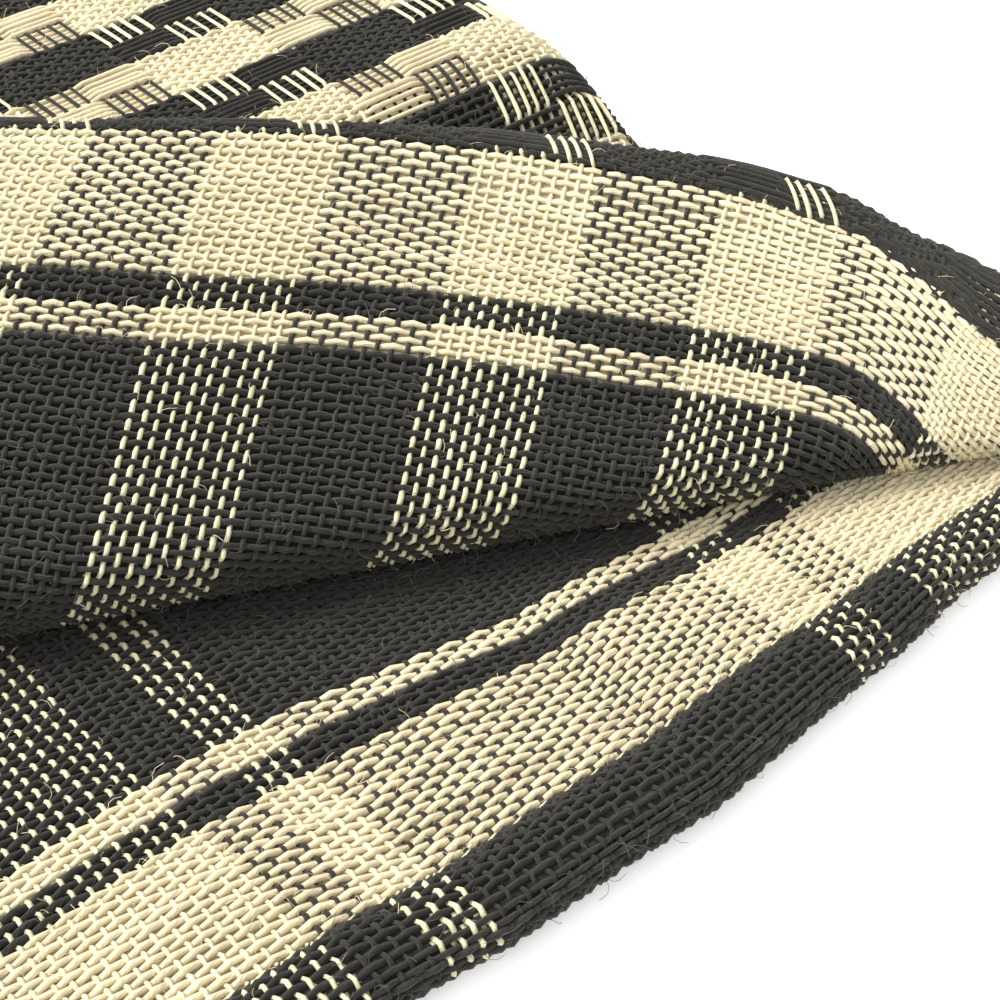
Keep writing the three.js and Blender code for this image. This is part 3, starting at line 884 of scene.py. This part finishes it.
def woven_cotton(name, colors):
    """The whole cloth, from the yarn counts in the UV map: stripes or figures, and the weave, with
    painted shade in the gaps between its yarns.
    """
    material, nodes, shader = cotton(name)
    counts = nodes.add("ShaderNodeSeparateXYZ")
    nodes.put(counts.inputs[0], nodes.add("ShaderNodeUVMap", uv_map="yarns").outputs[0])
    u, v = counts.outputs[0], counts.outputs[1]
    warp_cream, weft_cream, warp_floats, weft_floats = colors(nodes, u, v)
    warp, row = nodes.math("FLOOR", u), nodes.math("FLOOR", v)
    odd = nodes.math("FLOORED_MODULO", nodes.math("ADD", warp, row), 2.0)
    even = nodes.math("SUBTRACT", 1.0, odd)
    over = nodes.either(even, warp_floats)
    if weft_floats is not None:
        over = nodes.math("MULTIPLY", over, nodes.math("SUBTRACT", 1.0, weft_floats))
    across_u = nodes.math("ABSOLUTE", nodes.math("SUBTRACT", nodes.math("FRACT", u), 0.5))
    across_v = nodes.math("ABSOLUTE", nodes.math("SUBTRACT", nodes.math("FRACT", v), 0.5))
    warp_edge = nodes.math("SUBTRACT", 1.0, nodes.math("MULTIPLY", across_u, 5.0), clamp=True)
    weft_edge = nodes.math("SUBTRACT", 1.0, nodes.math("MULTIPLY", across_v, 2.1), clamp=True)
    warp_round = nodes.math("MULTIPLY", nodes.math("POWER", warp_edge, 0.5), over)
    weft_share = nodes.math("SUBTRACT", 1.0, nodes.math("MULTIPLY", over, 0.45))
    weft_round = nodes.math("MULTIPLY", nodes.math("POWER", weft_edge, 0.6), weft_share)
    height = nodes.either(warp_round, weft_round)
    warp_tops = nodes.math("GREATER_THAN", warp_round, weft_round)
    warp_color = nodes.mix(warp_cream, rgba(CHARCOAL), rgba(CREAM_WARP, 0.93))
    weft_color = nodes.mix(weft_cream, rgba(CHARCOAL), rgba(CREAM_WEFT, 0.93))
    color = nodes.mix(warp_tops, weft_color, warp_color)
    fibres = nodes.noise(2600, 3)
    # Painted shade: the colour darkens where the weave's height is low, in the gaps between yarns,
    # with random fibre tone on top. Where single yarns lie over the sheet, the painted shade takes
    # off at most a fifth.
    depth = nodes.math("MULTIPLY_ADD", height, 0.85, 0.15)
    depth = nodes.math("MULTIPLY", depth, nodes.math("MULTIPLY_ADD", fibres, 0.4, 0.8))
    depth = nodes.math("MAXIMUM", depth, nodes.math("MULTIPLY", nodes.attribute("covered"), 0.8))
    shade = nodes.add("ShaderNodeVectorMath", operation="SCALE")
    nodes.put(shade.inputs[0], color)
    nodes.put(shade.inputs["Scale"], depth)
    finish_cotton(nodes, shader, shade.outputs[0], height, 0.7, 0.0003)
    return material


def striped(nodes, count, stripes):
    """1 in the cream stripes of a border; the first is cream."""
    edges = np.concatenate([[0], np.cumsum(stripes)])
    return nodes.either(*[
        nodes.within(count, float(low), float(high))
        for low, high in zip(edges[::2], edges[1::2])
    ])


def grouped(nodes, count, start):
    turn = nodes.math("FLOORED_MODULO", nodes.math("SUBTRACT", count, start + 0.0), 2.0 * GROUP)
    return nodes.math("LESS_THAN", turn, GROUP - 1e-4)


def corner_colors(nodes, u, v):
    """The lower sheet: warp stripes along its side, row stripes along its front."""
    rows = striped(nodes, v, ROW_STRIPES)
    field = nodes.math("GREATER_THAN", v, FIELD_ROW - 1e-4)
    rows = nodes.either(rows, nodes.math("MULTIPLY", field, grouped(nodes, v, FIELD_ROW)))
    return striped(nodes, u, WARP_STRIPES), rows, 0.0, None


def border_colors(nodes, u, v):
    """The flap: warp groups of ten, row stripes along the hem, and the field beyond."""
    rows = striped(nodes, v, ROW_STRIPES)
    field = nodes.math("GREATER_THAN", v, FIELD_ROW - 1e-4)
    rows = nodes.either(rows, nodes.math("MULTIPLY", field, grouped(nodes, v, FIELD_ROW)))
    return grouped(nodes, u, FLAP_GROUP), rows, 0.0, None


def field_colors(nodes, u, v):
    """The net figure: blocks of plain weave joined by the floats of FIELD_CHART."""
    columns = grouped(nodes, u, FIELD_SHIFT[0])
    rows = grouped(nodes, v, FIELD_SHIFT[1])
    block_u = nodes.math("DIVIDE", nodes.math("SUBTRACT", u, FIELD_SHIFT[0] + 0.0), BLOCK + 0.0)
    block_v = nodes.math("DIVIDE", nodes.math("SUBTRACT", v, FIELD_SHIFT[1] + 0.0), BLOCK + 0.0)
    column = nodes.math("FLOORED_MODULO", nodes.math("FLOOR", block_u), len(FIELD_CHART) + 0.0)
    line = nodes.math("FLOORED_MODULO", nodes.math("FLOOR", block_v), len(FIELD_CHART) + 0.0)
    floats = {"W": [], "F": []}
    for j, cells in enumerate(FIELD_CHART):
        for i, cell in enumerate(cells):
            if cell != "P":
                here = nodes.math(
                    "MULTIPLY", nodes.within(column, i - 0.5, i + 0.5),
                    nodes.within(line, j - 0.5, j + 0.5),
                )
                floats[cell].append(here)
    return columns, rows, nodes.either(*floats["W"]), nodes.either(*floats["F"])


# ---------------------------------------------------------------- camera

AIM = np.array([-26.2, 23.7, 0.0])
CAMERA_AZIMUTH = math.radians(-40.5)
CAMERA_ELEVATION = math.radians(40)
CAMERA_REACH = 135
LENS = 90
SENSOR = 36

to_camera = np.array([
    math.sin(CAMERA_AZIMUTH) * math.cos(CAMERA_ELEVATION),
    -math.cos(CAMERA_AZIMUTH) * math.cos(CAMERA_ELEVATION),
    math.sin(CAMERA_ELEVATION),
])
camera_place = AIM + to_camera * CAMERA_REACH


def close_up(points, margin=1.05):
    """True inside the camera's view, where the yarns are laid one by one."""
    right = np.cross([0, 0, 1], to_camera)
    right /= np.linalg.norm(right)
    upward = np.cross(to_camera, right)
    ray = points - camera_place
    depth = -(ray @ to_camera)
    half = SENSOR / 2 / LENS * margin
    return (np.abs(ray @ right) < half * depth) & (np.abs(ray @ upward) < half * depth)


# ---------------------------------------------------------------- the yarns

WARP_YARN = {
    "radius": WARP_RADIUS, "flatness": 0.92, "crest": WARP_CREST, "slub": 0.16,
    "uneven": 0.08, "sides": 4,
}
WEFT_YARN = {
    "radius": WEFT_RADIUS, "flatness": WEFT_FLATNESS, "crest": WEFT_CREST, "slub": 0.13,
    "uneven": 0.07, "sides": 6,
}
DRIFT = 0.13  # how far a yarn wanders sideways, in yarns


def weave(name, place, facing, warps, rows, cream_warps, cream_rows, field_start, seed):
    """Lays the warp and the weft of one stretch of cloth, yarn by yarn."""
    over = warp_on_top(warps[:, None], rows[None, :], field_start)
    if name == "flap":
        over = hem_loops(over, warps, rows)
    pieces = []
    sets = (("warp", warps, rows, cream_warps), ("weft", rows, warps, cream_rows))
    for k, (kind, yarns, crossed, cream) in enumerate(sets):
        at = np.arange(0, len(crossed) + 1e-6, 1 / STEPS)
        if kind == "warp":
            points, shown = place(yarns + 0.5, crossed[0] + at)
            normal = facing_of(points, facing)
            height = crest(over, at)
        else:
            points, shown = place(crossed[0] + at, yarns + 0.5)
            normal = facing_of(points, facing).transpose(1, 0, 2)
            points, shown = points.transpose(1, 0, 2), shown.T
            height = -crest(over.T, at)
        aside = np.gradient(points, axis=0)
        wander = DRIFT * waves(yarns[:, None] * 7.3, at[None, :], 21, seed + 11 + k)
        points = points + aside * wander[..., None]
        yarn, finish = (WARP_YARN, WARP_COTTON) if kind == "warp" else (WEFT_YARN, WEFT_COTTON)
        dye = 1.0 - cream(yarns)[:, None]
        pieces.append(lay_yarns(
            name + "_" + kind, points, normal, height, dye, shown & close_up(points),
            yarn, finish, seed + k,
        ))
    return pieces


def lower_grid(warps, rows):
    points = lower_place(warps[:, None], rows[None, :])
    behind = (points[..., :2] - FOLD_START) @ BACK
    return points, behind < 5


def flap_grid(warps, rows):
    on_hem = rows < 0
    points = np.zeros((len(warps), len(rows), 3))
    left = np.ones((len(warps), len(rows)))
    points[:, on_hem] = curled_hem(warps, rows[on_hem])
    points[:, ~on_hem], left[:, ~on_hem] = flap_lines(warps, rows[~on_hem])
    return points, left > np.minimum(6, 0.5 * left[:, :1])


def top_grid(warps, rows):
    points = top_place(warps[:, None] * WARP_PITCH, rows[None, :] * FIELD_PITCH)
    offset = points[..., :2] - FOLD_START
    along, behind = offset @ ALONG, offset @ BACK
    hidden = behind < np.interp(along, FLAP[:, 0], FLAP[:, 2]) - 4
    return points, ~hidden


def cream_border_rows(rows):
    field = (rows >= FIELD_ROW) & cream_in_groups(rows, FIELD_ROW)
    return cream_in_turn(rows, ROW_STRIPES) | field


WARP_COTTON = yarn_cotton("spun_warp", CREAM_WARP, 5200.0)
WEFT_COTTON = yarn_cotton("spun_weft", CREAM_WEFT, 2200.0)
FIBRE_COTTON = fibre_cotton()

lower_yarns = weave(
    "lower", lower_grid, -1, np.arange(-1, 88), np.arange(-14, 72),
    lambda i: cream_in_turn(i, WARP_STRIPES) | (i < 0), cream_border_rows, None, 20,
)
flap_yarns = weave(
    "flap", flap_grid, 1, np.arange(0, 112), np.arange(-14, 84),
    lambda i: cream_in_groups(i, FLAP_GROUP), cream_border_rows, None, 40,
)
field_yarns = weave(
    "field", top_grid, -1, np.arange(-3, 64), np.arange(64, 176),
    lambda i: cream_in_groups(i, FIELD_SHIFT[0]), lambda j: cream_in_groups(j, FIELD_SHIFT[1]),
    FIELD_SHIFT, 60,
)

all_yarns = lower_yarns + flap_yarns + field_yarns
fuzz = [fuzz_on(yarns, 1.1e6, 90 + k) for k, yarns in enumerate(all_yarns)]

# ---------------------------------------------------------------- the cloth behind the yarns

CORNER_CLOTH = woven_cotton("woven_corner", corner_colors)
FLAP_CLOTH = woven_cotton("woven_border", border_colors)
FIELD_CLOTH = woven_cotton("woven_field", field_colors)


def cover(piece, points, finish):
    """Marks where single yarns lie on a sheet, and gives it its finish."""
    # The woven materials paint less shade into the weave's gaps where this mark is set.
    covered = close_up(points.reshape(-1, 3), 1.03).astype(float)
    mark = piece.data.attributes.new("covered", "FLOAT", "POINT")
    mark.data.foreach_set("value", covered)
    piece.data.materials.append(finish)
    return piece


def sheet_of(name, points, counts, facing, finish):
    piece = shell(name, points, counts, facing)
    return cover(piece, np.concatenate([points.reshape(-1, 3)] * 2), finish)


def hem_of(name, centres, across, finish, counts_along, share=1.0):
    """A rolled hem or a rounded fold: an ellipse carried along a line."""
    share = np.broadcast_to(share, len(centres))
    onward = np.gradient(centres, axis=0)
    onward /= np.linalg.norm(onward, axis=1, keepdims=True)
    wide = across - onward * np.sum(across * onward, axis=1, keepdims=True)
    wide /= np.linalg.norm(wide, axis=1, keepdims=True)
    raised = np.cross(wide, onward)
    raised *= np.sign(raised[:, 2:] + 1e-9)
    turn = np.linspace(0, math.tau, 28, endpoint=False)
    rings = (
        centres[:, None]
        + wide[:, None] * (HEM_WIDTH / 2 * np.multiply.outer(share, np.cos(turn)))[..., None]
        + raised[:, None] * (HEM_THICK / 2 * HEM_CORE * np.sin(turn))[None, :, None]
    )
    rings[..., 2] = np.maximum(rings[..., 2], 0.02)
    rows = -12 * (1 - np.abs(turn - math.pi) / math.pi)
    counts = np.stack(np.broadcast_arrays(counts_along[:, None], rows[None, :]), -1)
    mirrored = np.linalg.det([onward[1], wide[1], raised[1]]) < 0
    if mirrored:
        rings, counts = rings[:, ::-1], counts[:, ::-1]
    piece = ring_tube(name, rings, counts)
    return cover(piece, rings, finish)


warp_lines = np.concatenate([np.arange(0.3, 60, 1.2), np.linspace(60, 86.5, 20)])
row_lines = np.concatenate([np.arange(0.2, 84, 1.2), np.linspace(86, 646, 60)])
lower_points = lower_place(warp_lines[:, None], row_lines[None, :])
lower_points[..., 2] = np.where(lower_points[..., 1] > RAMP_START, 0.85, lower_points[..., 2])
lower_counts = np.stack(np.meshgrid(warp_lines, row_lines, indexing="ij"), -1)
lower_cloth = sheet_of("lower_cloth", lower_points, lower_counts, -1, CORNER_CLOTH)


def flap_sheet():
    """The flap in lines of warp from its hem, over its face and round the roll to the tuck."""
    last = hem_run[-1] / FLAP_PITCH
    warps = np.concatenate([
        np.arange(3.4 / FLAP_PITCH + 3, 112, 1.3), np.linspace(113, last, 56),
    ])
    shares = np.linspace(0, 1, 74)
    points = np.zeros((len(warps), len(shares), 3))
    counts = np.zeros((len(warps), len(shares), 2))
    fine = np.arange(0, 400) * 1.0
    for k, warp in enumerate(warps):
        line, left = flap_lines(np.array([warp]), fine)
        full = float(left[0, 0]) / ROW_PITCH
        rows = shares * full
        for axis in range(3):
            points[k, :, axis] = np.interp(rows, fine, line[0, :, axis])
        counts[k] = np.stack([np.full(len(rows), warp), rows], -1)
    side_points, side_counts = flap_side(shares, points[-1], counts[-1])
    return np.concatenate([points, side_points]), np.concatenate([counts, side_counts])


def flap_side(shares, last_points, last_counts):
    """The flap's cloth between its last whole warp yarn and its left fold."""
    full = float(flap.span(CORNER_ALONG, flap.cloth_edge))
    last_slant = WARP_SLANT[-1, 1]
    b_warp = full - shares * (full + TUCK_CLOTH)
    a_warp = CORNER_ALONG + last_slant * np.minimum((full - b_warp) / full, 1.1)
    a_fold = np.interp(shares, [0, 0.8], [CORNER_ALONG, LAST_ALONG])
    end = float(flap.span(LAST_ALONG, flap.cloth_edge))
    b_turned = np.interp(shares, [0.8, 1], [end, -TUCK_CLOTH])
    b_fold = np.where(shares < 0.8, flap.span(a_fold, flap.cloth_edge), b_turned)
    points, counts = [], []
    for part in (0.25, 0.5, 0.75, 1):
        line = flap.place(a_warp + (a_fold - a_warp) * part, b_warp + (b_fold - b_warp) * part)
        if part == 1:
            line[:, :2] += ALONG * 1.2
        apart = np.linalg.norm(line - last_points, axis=1)
        points.append(line)
        counts.append(last_counts + np.stack([apart / FLAP_PITCH, 0 * apart], -1))
    return np.array(points), np.array(counts)


flap_points, flap_counts = flap_sheet()
flap_cloth = sheet_of("flap_cloth", flap_points, flap_counts, 1, FLAP_CLOTH)


def top_front(x):
    """Where the top sheet ends in front, hidden under the flap's roll."""
    a = np.linspace(0, 320, 600)
    edge = plan(a, np.minimum(TUCK_MOST, TUCK_SHARE * a))
    return np.interp(-x, -edge[:, 0], edge[:, 1]) + GAP


def top_sheet_points():
    span = np.concatenate([
        np.linspace(-7, 8, 26), np.arange(9, 56, 1.3), np.linspace(58, WIDTH - 1.2, 60),
    ])
    shares = np.concatenate([np.linspace(0, 0.3, 76), np.linspace(0.31, 1, 40)])
    flat = top_place(span, np.full(len(span), 60.0))
    start = top_front(np.minimum(flat[:, 0], 0))
    ys = start[:, None] + (DEPTH - 0.6 - start[:, None]) * shares[None, :]
    points = top_place(span[:, None], ys)
    low_end = -(support(ys) + WALL) / 2 * math.pi / 2
    points = np.where((span[:, None] < low_end)[..., None], top_place(low_end, ys), points)
    counts = np.stack([
        np.broadcast_to(span[:, None] / WARP_PITCH, ys.shape), ys / FIELD_PITCH,
    ], -1)
    return points, counts


top_points, top_counts = top_sheet_points()
top_cloth = sheet_of("top_cloth", top_points, top_counts, -1, FIELD_CLOTH)

# ---------------------------------------------------------------- hems and folds

hem_xs = np.linspace(FRONT_HEM[0, 0], FRONT_HEM[-1, 0], 120)
hem_share = np.interp(hem_xs, FRONT_SHARE[:, 0], FRONT_SHARE[:, 1])
hem_ys = np.interp(hem_xs, FRONT_HEM[:, 0], FRONT_HEM[:, 1]) + HEM_WIDTH / 2 * hem_share
front_hem = hem_of(
    "front_hem_roll",
    np.stack([hem_xs, hem_ys, np.full(120, HEM_MIDDLE)], -1),
    np.tile([0.0, 1.0, 0.0], (120, 1)), CORNER_CLOTH, -hem_xs / WARP_PITCH,
    HEM_CORE * hem_share,
)
side_ys = np.linspace(HEM_WIDTH + 0.9, RAMP_START - 3, 30)
side_hem = hem_of(
    "side_hem_roll",
    np.stack([np.full(30, -BORDER + HEM_WIDTH / 2), side_ys, np.full(30, HEM_MIDDLE)], -1),
    np.tile([-1.0, 0.0, 0.0], (30, 1)), CORNER_CLOTH, np.full(30, 30.5), 1.0,
)

flap_warps = np.concatenate([
    np.arange(1, 112, 0.8), np.linspace(113, hem_run[-1] / FLAP_PITCH, 110),
])
flap_hem_rows = curled_hem(flap_warps, np.array([0.0, -6.0, -12.0]))
flap_hem_centres = (flap_hem_rows[:, 0] + flap_hem_rows[:, 2]) / 2
flap_hem = hem_of(
    "flap_hem_roll", flap_hem_centres, flap_hem_rows[:, 2] - flap_hem_rows[:, 0],
    FLAP_CLOTH, flap_warps, HEM_CORE,
)

left_stations = np.linspace(CORNER_ALONG, LAST_ALONG, 24)
left_centres = flap.place(left_stations, flap.span(left_stations, flap.over))
left_centres[:, :2] += ALONG * HEM_WIDTH * 0.7
flap_left_fold = hem_of(
    "flap_left_fold_edge", left_centres, np.tile([*ALONG, -0.3], (24, 1)),
    FLAP_CLOTH, np.full(24, 372.0), 1.0,
)
edge_ys = np.linspace(146, DEPTH - 1, 50)
top_left_fold = hem_of(
    "top_left_fold_edge",
    np.stack([
        np.full(50, -WIDTH + HEM_WIDTH / 2), edge_ys,
        np.full(50, STACK_HEIGHT + GAP + HEM_THICK / 2),
    ], -1),
    np.tile([-1.0, 0.0, 0.0], (50, 1)), FIELD_CLOTH, edge_ys / FIELD_PITCH, 1.0,
)


def stack_levels():
    """Height and inset of each ring: a bulge for each bundle, a groove between bundles."""
    layer = STACK_HEIGHT / len(BUNDLES)
    levels = []
    for k, set_back in enumerate(BUNDLES):
        low = max(set_back, BUNDLES[k - 1]) if k else set_back
        high = max(set_back, BUNDLES[k + 1]) if k + 1 < len(BUNDLES) else set_back
        for rise in np.linspace(0.04, 0.96, 9):
            round_off = 1 - math.sqrt(max(0.0, 1 - (2 * rise - 1) ** 2))
            neighbour = low if rise < 0.5 else high
            inset = set_back + round_off * (GROOVE + neighbour - set_back)
            levels.append(((k + rise) * layer, inset))
    return levels


def stack_outline(inset):
    """The stack's outline in plan at one inset: a rectangle with round corners."""
    x0, x1 = -WIDTH + 3 + inset, -6.5 - inset
    y0, y1 = STACK_FRONT + 0.5 + inset, DEPTH - 4 - inset
    c = STACK_CORNER
    corners = (
        (x1 - c, y0 + c, -90), (x1 - c, y1 - c, 0), (x0 + c, y1 - c, 90), (x0 + c, y0 + c, 180),
    )
    corner_turn = np.linspace(0, math.pi / 2, 14)
    outline = []
    for k, (cx, cy, start) in enumerate(corners):
        turn = corner_turn + math.radians(start)
        outline += list(zip(cx + c * np.cos(turn), cy + c * np.sin(turn)))
        next_x, next_y, next_start = corners[(k + 1) % 4]
        start_turn = math.radians(next_start)
        goal = (next_x + c * math.cos(start_turn), next_y + c * math.sin(start_turn))
        last = outline[-1]
        for share in np.linspace(0, 1, 42)[1:-1]:
            x = last[0] + (goal[0] - last[0]) * share
            y = last[1] + (goal[1] - last[1]) * share
            outline.append((x, y))
    return np.array(outline)


STRIP_TOP = 1.35  # the stack's underside where it lies over the border strip


def hidden_stack():
    """The layers inside the stack, closed on top by rings that shrink to its middle."""
    rings, counts = [], []
    for height, inset in stack_levels():
        ring = stack_outline(inset)
        over_strip = (ring[:, 0] > -BORDER - 0.3) & (height < STRIP_TOP)
        z = np.where(over_strip, STRIP_TOP, height)
        rings.append(np.column_stack([ring, z]))
        run = lengths(ring)
        counts.append(np.stack([run / WARP_PITCH, np.full(len(ring), height / 0.3)], -1))
    rings = np.array(rings)
    middle = rings[-1].mean(axis=0)
    for share in (1, 0.8, 0.6, 0.4, 0.2, 0.02):
        ring = middle + (rings[-1] - middle) * (share, share, 1) if share < 1 else rings[-1]
        rings = np.concatenate([rings, ring[None]])
        counts.append(np.stack([-ring[:, 0] / WARP_PITCH, ring[:, 1] / FIELD_PITCH], -1))
    rings[..., 2] += 0.12 * waves(rings[..., 0] + rings[..., 1], rings[..., 2] * 9, 40, 31) * (
        (rings[..., 2] > 0.9) & (rings[..., 2] < 7.3)
    )
    return ring_tube("hidden_stack", rings, np.array(counts))


OUT_OF_VIEW = 500  # a place that the camera doesn't see, so that no yarns count as lying there
hidden_stack_piece = hidden_stack()
nowhere = np.full((len(hidden_stack_piece.data.vertices), 3), float(OUT_OF_VIEW))
cover(hidden_stack_piece, nowhere, FIELD_CLOTH)

# ---------------------------------------------------------------- floor, light and camera

def plain_floor():
    mesh = bpy.data.meshes.new("floor")
    side, level = 3.0, -0.0004
    corners = [(-side, -side), (side, -side), (side, side), (-side, side)]
    mesh.from_pydata([(x, y, level) for x, y in corners], [], [(0, 1, 2, 3)])
    floor = bpy.data.objects.new("floor", mesh)
    bpy.context.collection.objects.link(floor)
    material = bpy.data.materials.new("pale_table")
    material.use_nodes = True
    shader = material.node_tree.nodes["Principled BSDF"]
    shader.inputs["Base Color"].default_value = (0.9, 0.9, 0.895, 1)
    shader.inputs["Roughness"].default_value = 0.8
    shader.inputs["Emission Color"].default_value = (1, 1, 1, 1)
    shader.inputs["Emission Strength"].default_value = 0.4
    mesh.materials.append(material)


def soft_light(name, place, aim, size, watts, tint=(1, 1, 1)):
    lamp = bpy.data.lights.new(name, "AREA")
    lamp.shape = "DISK"
    lamp.size = size
    lamp.energy = watts
    lamp.color = tint
    light = bpy.data.objects.new(name, lamp)
    bpy.context.collection.objects.link(light)
    light.location = place
    light.rotation_euler = (Vector(aim) - Vector(place)).to_track_quat("-Z", "Y").to_euler()


plain_floor()
focus = Vector((AIM + TIP) * MM)
soft_light("key", focus + Vector((-0.42, 0.38, 0.66)), focus, 0.5, 12.3, (1, 0.98, 0.95))
soft_light("fill", focus + Vector((-0.6, -0.4, 0.6)), focus, 0.8, 2.5)

world = bpy.data.worlds.new("studio")
world.use_nodes = True
world.node_tree.nodes["Background"].inputs["Color"].default_value = (1, 1, 1, 1)
world.node_tree.nodes["Background"].inputs["Strength"].default_value = 0.76
bpy.context.scene.world = world
bpy.context.scene.view_settings.view_transform = "Standard"

lens = bpy.data.cameras.new("camera")
lens.lens = LENS
lens.sensor_width = SENSOR
lens.clip_start = 0.01
camera = bpy.data.objects.new("camera", lens)
bpy.context.collection.objects.link(camera)
camera.location = Vector((camera_place + TIP) * MM)
camera.rotation_euler = (focus - camera.location).to_track_quat("-Z", "Y").to_euler()
bpy.context.scene.camera = camera

# ---------------------------------------------------------------- what stands for what

STANDS_FOR = (
    (lower_cloth, "lower_sheet", "border_cloth"),
    (flap_cloth, "turned_flap", "border_cloth"),
    (top_cloth, "top_sheet", "field_cloth"),
    (hidden_stack_piece, "hidden_layers", "field_cloth"),
    (front_hem, "front_hem", "hem_cloth"),
    (side_hem, "side_hem", "hem_cloth"),
    (flap_hem, "flap_hem", "hem_cloth"),
    (flap_left_fold, "flap_left_fold", "border_cloth"),
    (top_left_fold, "top_left_fold", "field_cloth"),
)
for piece, node, slot in STANDS_FOR:
    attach(piece, "root")
    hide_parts(node)
for piece in all_yarns + fuzz:
    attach(piece, "root")
